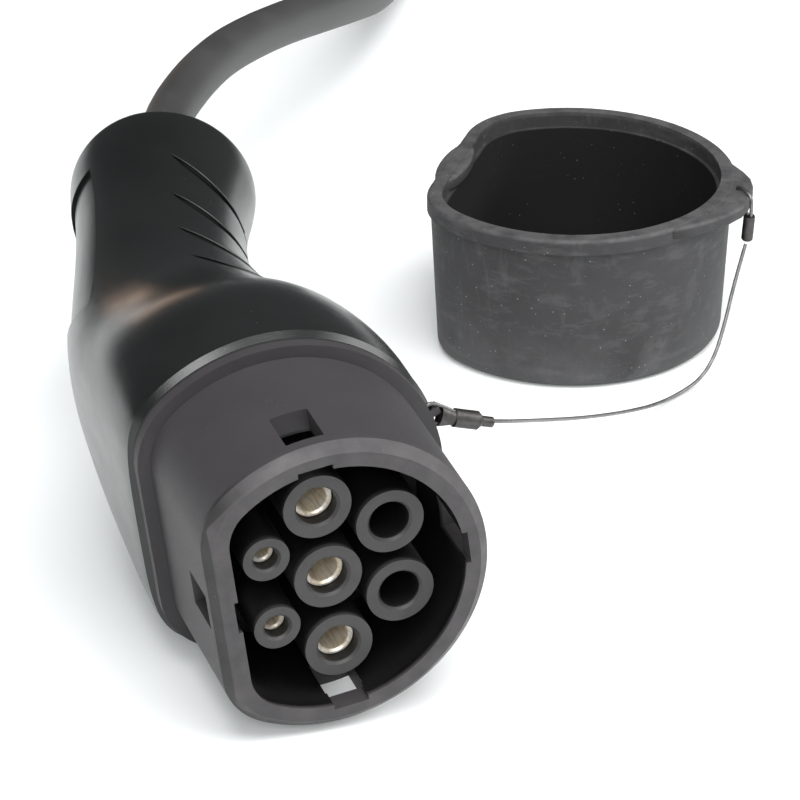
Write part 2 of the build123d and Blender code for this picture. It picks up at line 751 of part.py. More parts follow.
def write(name, piece):
    piece.label = name
    export_step(piece, f"parts/{name}.step")


def report_cord(name, radii, solid, path, diameter):
    ratio = solid.volume / (path.length * math.pi * diameter ** 2 / 4)
    print(name, "radii", [round(r, 1) for r in radii], "length", round(path.length, 1),
          "volume ratio", round(ratio, 4))


def main():
    os.makedirs("parts", exist_ok=True)
    plug = {
        "nose_shroud": make_nose(),
        "contact_carrier": make_carrier(),
        "contact_retainer": make_retainer(),
        "retainer_screws": make_retainer_screws(),
        "body_shell": make_shell(),
        "flange_seal": make_seal(),
        "cable_grommet": make_grommet(),
        "cable_clamp": make_clamp(),
        "clamp_screws": make_clamp_screws(),
        "coding_resistor": make_resistor(),
        "lanyard_loop_plug": make_plug_loop(),
        "lanyard_crimp_plug": make_plug_crimp(),
    }
    for name, place in power_places.items():
        plug[f"contact_{name}"] = make_contact(place, power_hole_d, power_bore_d, power_bore_l,
                                               power_barrel_d, core_d, slits=(45, 135))
    for name, place in signal_places.items():
        plug[f"contact_{name}"] = make_contact(place, signal_hole_d, signal_bore_d, signal_bore_l,
                                               signal_barrel_d, signal_core_d)
    for name, place in power_places.items():
        plug[f"core_{name}"] = make_core(name, place, core_d)
    plug["core_cp"] = make_core("cp", signal_places["cp"], signal_core_d)
    table = {
        "dust_cap": cap_frame * make_cap(),
        "lanyard_loop_cap": make_cap_loop(),
        "lanyard_crimp_cap": make_cap_crimp(),
        "cable_coil": make_coil(),
        "lead_end_sleeve": tail_rod(0, 0, end_sleeve_d, 0.2, end_sleeve_len),
    }
    for k, angle in enumerate(tie_angles):
        table[f"coil_tie_{k + 1}"] = make_tie(angle)
    for name in core_slots:
        size = signal_core_d if name == "cp" else core_d
        table[f"lead_core_{name}"] = tail_rod(*core_slot(name), size, end_sleeve_len, tail_core_end)
        table[f"lead_ferrule_{name}"] = make_ferrule(name)
    for name, piece in plug.items():
        write(name, lay_down(piece))
    for name, piece in table.items():
        write(name, set_down(piece))
    for name, route, diameter in (("charging_cable", full_cable_route(), cable_d),
                                  ("lanyard_wire", full_lanyard_route(), wire_d)):
        print(name, "route", [[round(v, 1) for v in point] for point in route])
        path, radii = cord_path(route)
        solid = tube(path, diameter)
        report_cord(name, radii, solid, path, diameter)
        write(name, set_down(solid))


main()
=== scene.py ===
"""Vehicle charging connector with its cable and dust cap, dressed over the fixed frame."""

import logging
import math
from dataclasses import dataclass, field
from enum import Enum
from typing import Any

import bmesh
import bpy
from mathutils import Euler, Matrix, Vector
from mathutils.bvhtree import BVHTree


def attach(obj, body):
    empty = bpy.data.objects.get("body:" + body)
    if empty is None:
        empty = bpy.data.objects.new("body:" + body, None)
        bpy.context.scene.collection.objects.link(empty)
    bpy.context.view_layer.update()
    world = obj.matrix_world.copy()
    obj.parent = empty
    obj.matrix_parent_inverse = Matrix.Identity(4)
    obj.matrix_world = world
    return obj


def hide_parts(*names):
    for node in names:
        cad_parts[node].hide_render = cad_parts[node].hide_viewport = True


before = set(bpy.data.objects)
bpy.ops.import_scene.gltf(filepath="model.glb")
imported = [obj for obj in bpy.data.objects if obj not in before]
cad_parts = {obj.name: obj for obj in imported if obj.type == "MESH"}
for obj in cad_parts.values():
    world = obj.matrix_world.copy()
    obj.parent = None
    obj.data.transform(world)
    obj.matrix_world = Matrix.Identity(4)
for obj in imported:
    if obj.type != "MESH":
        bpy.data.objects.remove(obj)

logging.basicConfig(level=logging.INFO, format="%(message)s")
log = logging.getLogger("connector")

MM = 0.001
TURNED_EDGE = math.radians(32)
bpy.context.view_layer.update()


# ---------------------------------------------------------------- shader tools
Colour = tuple[float, float, float]
Point = tuple[float, float, float]
Profile = tuple[tuple[float, float], ...]


class Value:
    """A socket that can be used in arithmetic."""

    def __init__(self, shader: "Shader", socket: Any) -> None:
        """Wraps one output socket of a shader's tree."""
        self.shader = shader
        self.socket = socket

    def _math(self, operation: str, *terms: Any, clamp: bool = False) -> "Value":
        """Adds one Math node.

        Args:
            operation: The node's operation.
            terms: Numbers or values, in the order of the node's sockets.
            clamp: Whether the result is kept between 0 and 1.

        Returns:
            The node's result.
        """
        settings = {"operation": operation, "use_clamp": clamp}
        return self.shader.node("ShaderNodeMath", settings, dict(enumerate(terms)))

    def __add__(self, other: Any) -> "Value":
        """Sum."""
        return self._math("ADD", self, other)

    __radd__ = __add__

    def __mul__(self, other: Any) -> "Value":
        """Product."""
        return self._math("MULTIPLY", self, other)

    __rmul__ = __mul__

    def __sub__(self, other: Any) -> "Value":
        """Difference."""
        return self._math("SUBTRACT", self, other)

    def __rsub__(self, other: Any) -> "Value":
        """Difference from a number."""
        return self._math("SUBTRACT", other, self)

    def __pow__(self, other: Any) -> "Value":
        """Power."""
        return self._math("POWER", self, other)

    def above(self, edge: float, soft: float) -> "Value":
        """Mask that rises from 0 to 1 over a soft edge.

        Args:
            edge: Value at which the mask is half way.
            soft: Width of the rise.

        Returns:
            The mask, between 0 and 1.
        """
        return self._math("DIVIDE", self - (edge - soft / 2), soft, clamp=True)

    def below(self, edge: float, soft: float) -> "Value":
        """Mask that falls from 1 to 0 over a soft edge."""
        return 1 - self.above(edge, soft)


class Shader:
    """One material's node tree, with a method for every kind of node."""

    def __init__(self, name: str) -> None:
        """Starts an empty material with a principled shader.

        Args:
            name: Name of the material.
        """
        self.material = bpy.data.materials.new(name)
        self.material.use_nodes = True
        self.tree = self.material.node_tree
        self.surface = next(n for n in self.tree.nodes if n.type == "BSDF_PRINCIPLED")

    def node(self, kind: str, settings: dict[str, Any] | None = None,
             inputs: dict[Any, Any] | None = None, output: Any = 0) -> Value:
        """Adds one node.

        Args:
            kind: The node's type.
            settings: Properties that are set before the sockets.
            inputs: Values or links for the sockets, by name or index.
            output: Name or index of the output that is returned.

        Returns:
            The chosen output.
        """
        node = self.tree.nodes.new(kind)
        for key, setting in (settings or {}).items():
            setattr(node, key, setting)
        for key, term in (inputs or {}).items():
            self._feed(node.inputs[key], term)
        return Value(self, node.outputs[output])

    def _feed(self, socket: Any, term: Any) -> None:
        """Links or sets one socket.

        Args:
            socket: The input socket.
            term: Value to link, or a number, colour or vector.
        """
        if isinstance(term, Value):
            self.tree.links.new(term.socket, socket)
        elif isinstance(term, tuple) and len(term) == 3 and socket.type == "RGBA":
            socket.default_value = (*term, 1.0)
        else:
            socket.default_value = term

    def set(self, **sockets: Any) -> None:
        """Sets or links sockets of the surface shader; underscores stand for spaces."""
        for key, term in sockets.items():
            self._feed(self.surface.inputs[key.replace("_", " ")], term)

    def coordinates(self, centre: Vector = Vector(), turn: Euler = Euler(),
                    stretch: tuple[float, float, float] = (1, 1, 1)) -> Value:
        """Object coordinates of a pattern.

        Args:
            centre: Point that becomes the pattern's origin.
            turn: Turn of the pattern's axes.
            stretch: Scale of the pattern, before the turn.

        Returns:
            The coordinates, in metres before the stretch.
        """
        place = self.node("ShaderNodeTexCoord", output="Object")
        centred = self.node("ShaderNodeVectorMath", {"operation": "SUBTRACT"}, {0: place, 1: centre})
        return self.node("ShaderNodeMapping", {"vector_type": "POINT"},
                         {"Vector": centred, "Rotation": turn, "Scale": stretch})

    def parts(self, vector: Value) -> tuple[Value, ...]:
        """Splits coordinates into their three values."""
        first = self.node("ShaderNodeSeparateXYZ", inputs={0: vector})
        return tuple(Value(self, socket) for socket in first.socket.node.outputs)

    def noise(self, vector: Value, scale: float, detail: float = 2.0, rough: float = 0.5) -> Value:
        """Soft noise.

        Args:
            vector: Coordinates in metres.
            scale: Features per metre.
            detail: Octaves.
            rough: Weight of the finer octaves.

        Returns:
            Noise around 0.5.
        """
        return self.node("ShaderNodeTexNoise", {},
                         {"Vector": vector, "Scale": scale, "Detail": detail, "Roughness": rough})

    def specks(self, vector: Value, scale: float, size: float) -> Value:
        """Small separate dots.

        Args:
            vector: Coordinates in metres.
            scale: Cells per metre.
            size: Radius of a dot, as a share of a cell.

        Returns:
            Mask of the dots.
        """
        distance = self.node("ShaderNodeTexVoronoi", {"feature": "F1"},
                             {"Vector": vector, "Scale": scale, "Randomness": 1.0})
        return distance.below(size, size * 0.5)

    def mix(self, factor: Any, first: Any, second: Any) -> Value:
        """Blend of two colours."""
        return self.node("ShaderNodeMix", {"data_type": "RGBA"}, {0: factor, 6: first, 7: second}, output=2)

    def bump(self, height: Value, depth: float, strength: float = 1.0) -> Value:
        """Normal of a relief.

        Args:
            height: Height between 0 and 1.
            depth: Height of the relief in metres.
            strength: Share of the relief that shows.

        Returns:
            The bumped normal.
        """
        return self.node("ShaderNodeBump", {}, {"Strength": strength, "Distance": depth, "Height": height})


# ---------------------------------------------------------------- axes of the nose and of the cap
@dataclass(frozen=True)
class NoseFrame:
    """Axes of the nose: x towards the finger side, y back along the nose, z up across it."""

    dip: float = 4.0
    roll: float = 8.7
    rim: tuple[float, float, float] = (-58.93, -94.65, 32.965)

    def matrix(self) -> Matrix:
        """Matrix from the nose's axes to the frame.

        Returns:
            The matrix, in metres.
        """
        dip = Matrix.Rotation(math.radians(self.dip), 4, "X")
        roll = Matrix.Rotation(-math.radians(self.roll), 4, "Y")
        return Matrix.Translation(Vector(self.rim) * MM) @ dip @ roll

    def point(self, x: float, y: float, z: float) -> Vector:
        """Point of the frame, in metres, from millimetres on the nose's axes."""
        return self.matrix() @ (Vector((x, y, z)) * MM)

    def coordinates(self, shader: Shader, stretch: tuple[float, float, float] = (1, 1, 1)) -> Value:
        """Pattern coordinates on the nose's axes."""
        turn = self.matrix().to_3x3().inverted().to_euler("XYZ")
        return shader.coordinates(Vector(self.rim) * MM, turn, stretch)


@dataclass(frozen=True)
class CapFrame:
    """Axes of the standing cap: x from its flat side to its ear, z up."""

    centre: tuple[float, float] = (50.57, 60.45)
    turn: float = -36.2

    def matrix(self) -> Matrix:
        """Matrix from the cap's axes to the frame."""
        turn = Matrix.Rotation(math.radians(self.turn), 4, "Z")
        return Matrix.Translation(Vector((*self.centre, 0.0)) * MM) @ turn

    def coordinates(self, shader: Shader) -> Value:
        """Pattern coordinates on the cap's axes."""
        centre = Vector((*self.centre, 0.0)) * MM
        return shader.coordinates(centre, Euler((0.0, 0.0, -math.radians(self.turn))))


NOSE = NoseFrame()
CAP = CapFrame()


# ---------------------------------------------------------------- finishes
@dataclass(frozen=True)
class SatinShell:
    """Satin black moulded plastic with a faint haze."""

    colour: Colour = (0.0062, 0.0070, 0.0069)
    haze: Colour = (0.0105, 0.0118, 0.0115)
    dust: Colour = (0.16, 0.16, 0.155)
    rough: float = 0.20

    def material(self) -> bpy.types.Material:
        """Builds the shell's plastic.

        Returns:
            The material.
        """
        s = Shader("satin_shell")
        at = s.coordinates()
        cloud = s.noise(at, 28.0, 3.0, 0.55)
        smear = s.noise(s.coordinates(stretch=(1.0, 0.25, 1.0)), 210.0, 3.0, 0.6)
        dust = s.specks(at, 420.0, 0.045) * s.noise(at, 60.0).above(0.55, 0.1)
        base = s.mix(cloud.above(0.52, 0.30), self.colour, self.haze)
        s.set(Base_Color=s.mix(dust * 0.35, base, self.dust),
              Roughness=self.rough + smear * 0.10 + dust * 0.3,
              Normal=s.bump(s.noise(at, 2600.0, 2.0, 0.6), 0.000018))
        return s.material


@dataclass(frozen=True)
class EtchedNose:
    """Fine etched plastic of the nose, paler along worn edges, with painted shade inside it and a painted
    dark reflection on the left of its outer bevel.
    """

    colour: Colour = (0.0312, 0.0284, 0.0305)
    worn: Colour = (0.070, 0.064, 0.065)
    scuffed: Colour = (0.16, 0.155, 0.15)
    # Colour of the painted dark reflection on the left of the outer bevel.
    painted_dark_bevel: Colour = (0.0060, 0.0056, 0.0056)
    # Colour of the painted shade inside the nose.
    hollow_shade: Colour = (0.0050, 0.0046, 0.0046)
    lint: Colour = (0.22, 0.215, 0.21)
    bevel_reach: float = 0.0302
    bevel_flat: float = -0.0222
    hollow_reach: float = 0.02725
    hollow_flat: float = -0.0193
    scuff_place: Point = (-18.5, 4.0, 19.5)

    def material(self) -> bpy.types.Material:
        """Builds the nose's plastic.

        Returns:
            The material.
        """
        s = Shader("etched_nose")
        at = NOSE.coordinates(s)
        x, y, z = s.parts(at)
        reach = (x * x + z * z) ** 0.5
        grain = s.noise(at, 1500.0, 3.0, 0.7)
        cloud = s.noise(at, 70.0, 3.0, 0.6)
        rubbed = y.below(0.0024, 0.0022) * s.noise(at, 160.0, 3.0, 0.6).above(0.50, 0.28)
        base = s.mix(cloud.above(0.5, 0.4), self.colour, tuple(c * 1.22 for c in self.colour))
        lint = s.specks(at, 520.0, 0.05) * s.noise(at, 90.0).above(0.56, 0.08)
        colour = s.mix(rubbed * 0.45, base, self.worn)
        colour = s.mix(self._scuff(s, at) * 0.5, colour, self.scuffed)
        bevel = reach.above(self.bevel_reach, 0.0006) + x.below(self.bevel_flat, 0.0006)
        # Painted dark reflection: the outer bevel on the left side, near the front, is darkened.
        painted_dark_bevel = x.below(-0.0160, 0.008) * y.below(0.0030, 0.001) * bevel.above(0.5, 0.4)
        colour = s.mix(painted_dark_bevel * 0.85, colour, self.painted_dark_bevel)
        # Painted shade: the inner wall of the nose, in from its front face, is darkened.
        inside = reach.below(self.hollow_reach, 0.0002) * x.above(self.hollow_flat, 0.0002)
        inside = inside * y.above(0.0007, 0.0008)
        colour = s.mix(inside, colour, self.hollow_shade)
        s.set(Base_Color=s.mix(lint * 0.5, colour, self.lint),
              Roughness=0.50 + grain * 0.16 - rubbed * 0.12 - inside * 0.14,
              Normal=s.bump(grain * (1 - inside * 0.7), 0.00006, 0.75))
        return s.material

    def _scuff(self, s: Shader, at: Value) -> Value:
        """Rubbed spot beside the flat, near the rim.

        Args:
            s: The material's shader.
            at: Coordinates on the nose's axes.

        Returns:
            Mask of the spot.
        """
        spot = Vector(self.scuff_place) * MM
        away = s.node("ShaderNodeVectorMath", {"operation": "DISTANCE"}, {0: at, 1: spot}, output="Value")
        return away.below(0.0026, 0.003) * s.noise(at, 900.0, 3.0, 0.7).above(0.52, 0.12)


@dataclass(frozen=True)
class SleevePlastic:
    """Dull dark plastic of the contact carrier, with painted shade deeper in than the ends of its sleeves."""

    colour: Colour = (0.0275, 0.0262, 0.0262)
    # Colour of the painted shade deeper in than the sleeve ends.
    painted_recess_shade: Colour = (0.0042, 0.0040, 0.0040)
    lint: Colour = (0.26, 0.255, 0.25)
    sleeve_end: float = 0.0052

    def material(self) -> bpy.types.Material:
        """Builds the carrier's plastic.

        Returns:
            The material.
        """
        s = Shader("sleeve_plastic")
        at = NOSE.coordinates(s)
        grain = s.noise(at, 1900.0, 2.0, 0.6)
        cloud = s.noise(at, 180.0, 3.0, 0.6)
        lint = s.specks(at, 640.0, 0.05) * s.noise(at, 120.0).above(0.54, 0.08)
        base = s.mix(cloud.above(0.5, 0.35), self.colour, tuple(c * 1.35 for c in self.colour))
        # Painted shade: the carrier is darkened deeper in than the ends of the sleeves, with less lint there.
        painted_recess_shade = s.parts(at)[1].above(self.sleeve_end, 0.0007)
        base = s.mix(painted_recess_shade, base, self.painted_recess_shade)
        s.set(Base_Color=s.mix(lint * (1 - painted_recess_shade * 0.7) * 0.6, base, self.lint),
              Roughness=0.44 + grain * 0.14, Normal=s.bump(grain, 0.00003, 0.7))
        return s.material


@dataclass(frozen=True)
class PlatedContact:
    """Silvered copper alloy with fine drawn streaks along the bore."""

    plate: Colour = (0.90, 0.87, 0.80)
    warm: Colour = (0.86, 0.76, 0.60)
    streaks: Colour = (0.42, 0.35, 0.26)
    metal: float = 0.55

    def material(self) -> bpy.types.Material:
        """Builds the contact's metal.

        Returns:
            The material.
        """
        s = Shader("plated_contact")
        streak = s.noise(NOSE.coordinates(s, (1.0, 0.04, 1.0)), 1700.0, 3.0, 0.65)
        tarnish = s.noise(NOSE.coordinates(s), 420.0, 2.0, 0.5)
        base = s.mix(tarnish.above(0.50, 0.3), self.plate, self.warm)
        s.set(Base_Color=s.mix(streak.above(0.54, 0.12) * 0.45, base, self.streaks),
              Metallic=self.metal, Roughness=0.34 + streak * 0.20, Normal=s.bump(streak, 0.00001, 0.6))
        return s.material


@dataclass(frozen=True)
class DustyRubber:
    """Matte black rubber with dust, pale rub marks and flow streaks, with painted shade inside it and a
    painted highlight, partly dust, along the top of its lip.
    """

    colour: Colour = (0.0285, 0.0280, 0.0295)
    dust: Colour = (0.135, 0.134, 0.136)
    fine_dust: Colour = (0.20, 0.20, 0.195)
    lint: Colour = (0.34, 0.335, 0.325)
    # Colour of the painted shade inside the cap.
    hollow_shade: Colour = (0.0048, 0.0042, 0.0042)
    hollow_reach: float = 0.0324
    hollow_flat: float = -0.0245
    hollow_floor: float = 0.0025
    hollow_top: float = 0.0335
    # Height above which the top of the lip gets its painted highlight, partly dust.
    rim_top: float = 0.0362

    def material(self) -> bpy.types.Material:
        """Builds the cap's rubber.

        Returns:
            The material.
        """
        s = Shader("dusty_rubber")
        at = s.coordinates()
        x, y, z = s.parts(CAP.coordinates(s))
        cloud = s.noise(at, 55.0, 4.0, 0.62)
        rubs = s.noise(s.coordinates(stretch=(1.0, 1.0, 3.2)), 120.0, 4.0, 0.7).above(0.60, 0.16)
        slanted = s.coordinates(turn=Euler((0.5, 0.3, 0.2)), stretch=(1.0, 6.0, 1.0))
        streak = s.noise(slanted, 95.0, 3.0, 0.6)
        lint = s.specks(at, 560.0, 0.07) * s.noise(at, 75.0).above(0.47, 0.12)
        fine = s.specks(at, 1150.0, 0.11) * s.noise(at, 48.0, 2.0).above(0.50, 0.10)
        low = z.below(0.009, 0.012) * cloud.above(0.45, 0.25)
        # Lighter top of the lip: painted highlight, partly dust.
        rim = z.above(self.rim_top, 0.0005) * s.noise(at, 260.0, 3.0, 0.6).above(0.42, 0.3)
        colour = s.mix(cloud.above(0.5, 0.35), self.colour, tuple(c * 1.45 for c in self.colour))
        colour = s.mix(rubs * 0.22 + streak.above(0.62, 0.1) * 0.14, colour, self.dust)
        colour = s.mix(low * 0.25, colour, self.dust)
        colour = s.mix(fine * 0.35, colour, self.fine_dust)
        # Painted highlight, partly dust, on the top of the lip.
        colour = s.mix(rim * 0.35, colour, self.dust)
        # Painted shade: the inside of the cap, above its floor and below its lip, is darkened, with less lint
        # there.
        inside = ((x * x + y * y) ** 0.5).below(self.hollow_reach, 0.0003) * x.above(self.hollow_flat, 0.0003)
        inside = inside * z.above(self.hollow_floor, 0.001) * z.below(self.hollow_top, 0.0004)
        colour = s.mix(inside, colour, self.hollow_shade)
        s.set(Base_Color=s.mix(lint * (0.75 - inside * 0.45), colour, self.lint),
              Roughness=0.60 + cloud * 0.14, Specular_IOR_Level=0.42,
              Normal=s.bump(s.noise(at, 1250.0, 3.0, 0.7) + cloud * 1.5, 0.00006, 0.6))
        return s.material


@dataclass(frozen=True)
class SheathVinyl:
    """Soft black cable sheath with a little lint."""

    name: str = "sheath_vinyl"
    colour: Colour = (0.036, 0.0355, 0.0352)
    lint: Colour = (0.22, 0.22, 0.22)

    def material(self) -> bpy.types.Material:
        """Builds the sheath.

        Returns:
            The material.
        """
        s = Shader(self.name)
        at = s.coordinates()
        cloud = s.noise(at, 90.0, 3.0, 0.6)
        lint = s.specks(at, 480.0, 0.05) * s.noise(at, 70.0).above(0.52, 0.1)
        base = s.mix(cloud.above(0.5, 0.3), self.colour, tuple(c * 1.3 for c in self.colour))
        s.set(Base_Color=s.mix(lint * 0.4, base, self.lint),
              Roughness=0.46 + cloud * 0.12, Normal=s.bump(s.noise(at, 1400.0, 2.0, 0.6), 0.00004, 0.6))
        return s.material


@dataclass(frozen=True)
class BrushedMetal:
    """Bare metal with fine scratches."""

    name: str
    colour: Colour
    rough: float = 0.3
    soot: float = 0.3

    def material(self) -> bpy.types.Material:
        """Builds the metal.

        Returns:
            The material.
        """
        s = Shader(self.name)
        at = s.coordinates()
        scratch = s.noise(s.coordinates(stretch=(1.0, 7.0, 1.0)), 1500.0, 3.0, 0.7)
        cloud = s.noise(at, 700.0, 3.0, 0.6)
        dark = tuple(c * 0.35 for c in self.colour)
        s.set(Base_Color=s.mix(cloud.above(0.52, 0.25) * self.soot, self.colour, dark),
              Metallic=1.0, Roughness=self.rough + scratch * 0.15, Normal=s.bump(scratch, 0.00003, 0.5))
        return s.material


@dataclass(frozen=True)
class PlainPlastic:
    """Moulded plastic with a little unevenness."""

    name: str
    colour: Colour
    rough: float = 0.42

    def material(self) -> bpy.types.Material:
        """Builds the plastic.

        Returns:
            The material.
        """
        s = Shader(self.name)
        at = s.coordinates()
        cloud = s.noise(at, 260.0, 3.0, 0.6)
        base = s.mix(cloud.above(0.5, 0.3), self.colour, tuple(c * 0.8 for c in self.colour))
        s.set(Base_Color=base, Roughness=self.rough + cloud * 0.1,
              Normal=s.bump(s.noise(at, 1800.0), 0.00002, 0.5))
        return s.material


# ---------------------------------------------------------------- helpers for pieces
def dress(names: list[str], material: bpy.types.Material) -> None:
    """Gives CAD nodes one material.

    Args:
        names: Nodes of the frame.
        material: Finish for all of them.
    """
    for name in names:
        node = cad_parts[name]
        for place in node.material_slots:
            place.material = material
        log.info("dressed %s with %s", name, material.name)


def smooth_copy(node: str, name: str, material: bpy.types.Material,
                angle: float = 38.0) -> bpy.types.Object:
    """Copy of a CAD node whose facets are joined and shaded smooth.

    Args:
        node: Node that the copy stands for.
        name: Name of the new piece.
        material: Its finish.
        angle: Edges sharper than this stay sharp, in degrees.

    Returns:
        The new piece.
    """
    work = bmesh.new()
    work.from_mesh(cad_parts[node].data)
    bmesh.ops.remove_doubles(work, verts=work.verts, dist=2e-6)
    limit = math.radians(angle)
    for face in work.faces:
        face.smooth = True
    for edge in work.edges:
        edge.smooth = len(edge.link_faces) == 2 and edge.calc_face_angle(0.0) < limit
    return finish_piece(work, name, material, [node])


def finish_piece(work: bmesh.types.BMesh, name: str, material: bpy.types.Material,
                 stands_for: list[str] | None = None) -> bpy.types.Object:
    """Turns a bmesh into a piece of the object.

    Args:
        work: The finished bmesh, freed here.
        name: Name of the piece.
        material: Its finish.
        stands_for: CAD nodes that it replaces.

    Returns:
        The new piece.
    """
    mesh = bpy.data.meshes.new(name)
    work.to_mesh(mesh)
    work.free()
    piece = bpy.data.objects.new(name, mesh)
    bpy.context.scene.collection.objects.link(piece)
    mesh.materials.append(material)
    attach(piece, "root")
    if stands_for:
        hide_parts(*stands_for)
    log.info("made %s", name)
    return piece


def round_line(name: str, points: list[Vector] | list[Point], diameter: float, roundness: int,
               steps: int) -> bpy.types.Curve:
    """Round line along one smooth spline.

    Args:
        name: Name of the curve.
        points: Control points in metres, in the frame.
        diameter: Thickness in millimetres.
        roundness: Resolution of its section.
        steps: Steps between control points.

    Returns:
        The curve's data.
    """
    curve = bpy.data.curves.new(name, "CURVE")
    curve.dimensions = "3D"
    curve.bevel_depth = diameter * MM / 2
    curve.bevel_resolution = roundness
    curve.resolution_u = steps
    curve.use_fill_caps = True
    spline = curve.splines.new("NURBS")
    spline.points.add(len(points) - 1)
    for place, point in zip(spline.points, points):
        place.co = (*point, 1.0)
    spline.order_u = 3
    spline.use_endpoint_u = True
    return curve


def cord_curve(name: str, points: list[Point], diameter: float, material: bpy.types.Material,
               roundness: int) -> bpy.types.Object:
    """Cord that stays a curve.

    Args:
        name: Name of the piece.
        points: Control points in millimetres, in the frame.
        diameter: Thickness in millimetres.
        material: Its finish.
        roundness: Resolution of its section.

    Returns:
        The cord's curve.
    """
    points_m = [(x * MM, y * MM, z * MM) for x, y, z in points]
    curve = round_line(name, points_m, diameter, roundness, 10)
    curve.materials.append(material)
    cord = bpy.data.objects.new(name, curve)
    bpy.context.scene.collection.objects.link(cord)
    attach(cord, "root")
    log.info("made %s", name)
    return cord


def turned(profile: Profile, place: Matrix, steps: int) -> bmesh.types.BMesh:
    """Turned solid about the X axis of a place.

    Args:
        profile: Points along the axis and out from it, in millimetres, from the open end to the closed one.
        place: Matrix from the piece's axes to the frame.
        steps: Facets round the axis.

    Returns:
        The bmesh, in the frame.
    """
    work = bmesh.new()
    verts = [work.verts.new((along * MM, out * MM, 0.0)) for along, out in profile]
    edges = [work.edges.new(pair) for pair in zip(verts, verts[1:])]
    bmesh.ops.spin(work, geom=verts + edges, cent=(0, 0, 0), axis=(1, 0, 0), angle=2 * math.pi, steps=steps,
                   use_merge=True)
    bmesh.ops.remove_doubles(work, verts=work.verts, dist=1e-6)
    rims = [edge for edge in work.edges if edge.is_boundary]
    if rims:
        bmesh.ops.holes_fill(work, edges=rims, sides=0)
    bmesh.ops.recalc_face_normals(work, faces=work.faces)
    for face in work.faces:
        face.smooth = len(face.verts) < 5
    for edge in work.edges:
        edge.smooth = edge.calc_face_angle(0.0) < TURNED_EDGE
    bmesh.ops.transform(work, matrix=place, verts=work.verts)
    return work


def bent_wire(name: str, points: list[Vector], diameter: float, material: bpy.types.Material,
              stands_for: str | None) -> bpy.types.Object:
    """Short bent wire along a smooth line, as a mesh.

    Args:
        name: Name of the piece.
        points: Control points in metres, in the frame.
        diameter: Thickness in millimetres.
        material: Its finish.
        stands_for: CAD node that it replaces, if any.

    Returns:
        The new piece.
    """
    curve = round_line(name + "_line", points, diameter, 4, 8)
    line = bpy.data.objects.new(name + "_line", curve)
    mesh = bpy.data.meshes.new_from_object(line)
    work = bmesh.new()
    work.from_mesh(mesh)
    bpy.data.objects.remove(line)
    bpy.data.curves.remove(curve)
    return finish_piece(work, name, material, [stands_for] if stands_for else None)


def slab(outline: list[Vector], thick: float, edge: float) -> bmesh.types.BMesh:
    """Flat piece with rounded edges.

    Args:
        outline: Corners of its top face in metres, in order.
        thick: Thickness downwards, in millimetres.
        edge: Radius of its edges, in millimetres.

    Returns:
        The bmesh.
    """
    work = bmesh.new()
    top = work.faces.new([work.verts.new(corner) for corner in outline])
    walls = bmesh.ops.extrude_face_region(work, geom=[top])["geom"]
    low = [item for item in walls if isinstance(item, bmesh.types.BMVert)]
    bmesh.ops.translate(work, verts=low, vec=(0, 0, -thick * MM))
    bmesh.ops.recalc_face_normals(work, faces=work.faces)
    level = [e for e in work.edges if abs(e.verts[0].co.z - e.verts[1].co.z) < 1e-6]
    bmesh.ops.bevel(work, geom=level, offset=edge * MM, offset_type="OFFSET", affect="EDGES", segments=4,
                    profile=0.5, material=-1)
    for face in work.faces:
        face.smooth = True
    return work


# ---------------------------------------------------------------- camera, light and floor
@dataclass(frozen=True)
class Lamp:
    """One soft rectangular lamp, with its places and sizes in metres."""

    name: str
    place: Point
    size: tuple[float, float]
    power: float
    aim: Point = (0.0, 0.0, 0.03)
    tint: Colour = (1.0, 1.0, 1.0)

    def build(self) -> None:
        """Makes the lamp."""
        data = bpy.data.lights.new(self.name, "AREA")
        data.shape = "RECTANGLE"
        data.size, data.size_y = self.size
        data.energy = self.power
        data.color = self.tint
        lamp = bpy.data.objects.new(self.name, data)
        lamp.location = self.place
        lamp.rotation_euler = (Vector(self.aim) - Vector(self.place)).to_track_quat("-Z", "Y").to_euler()
        bpy.context.scene.collection.objects.link(lamp)


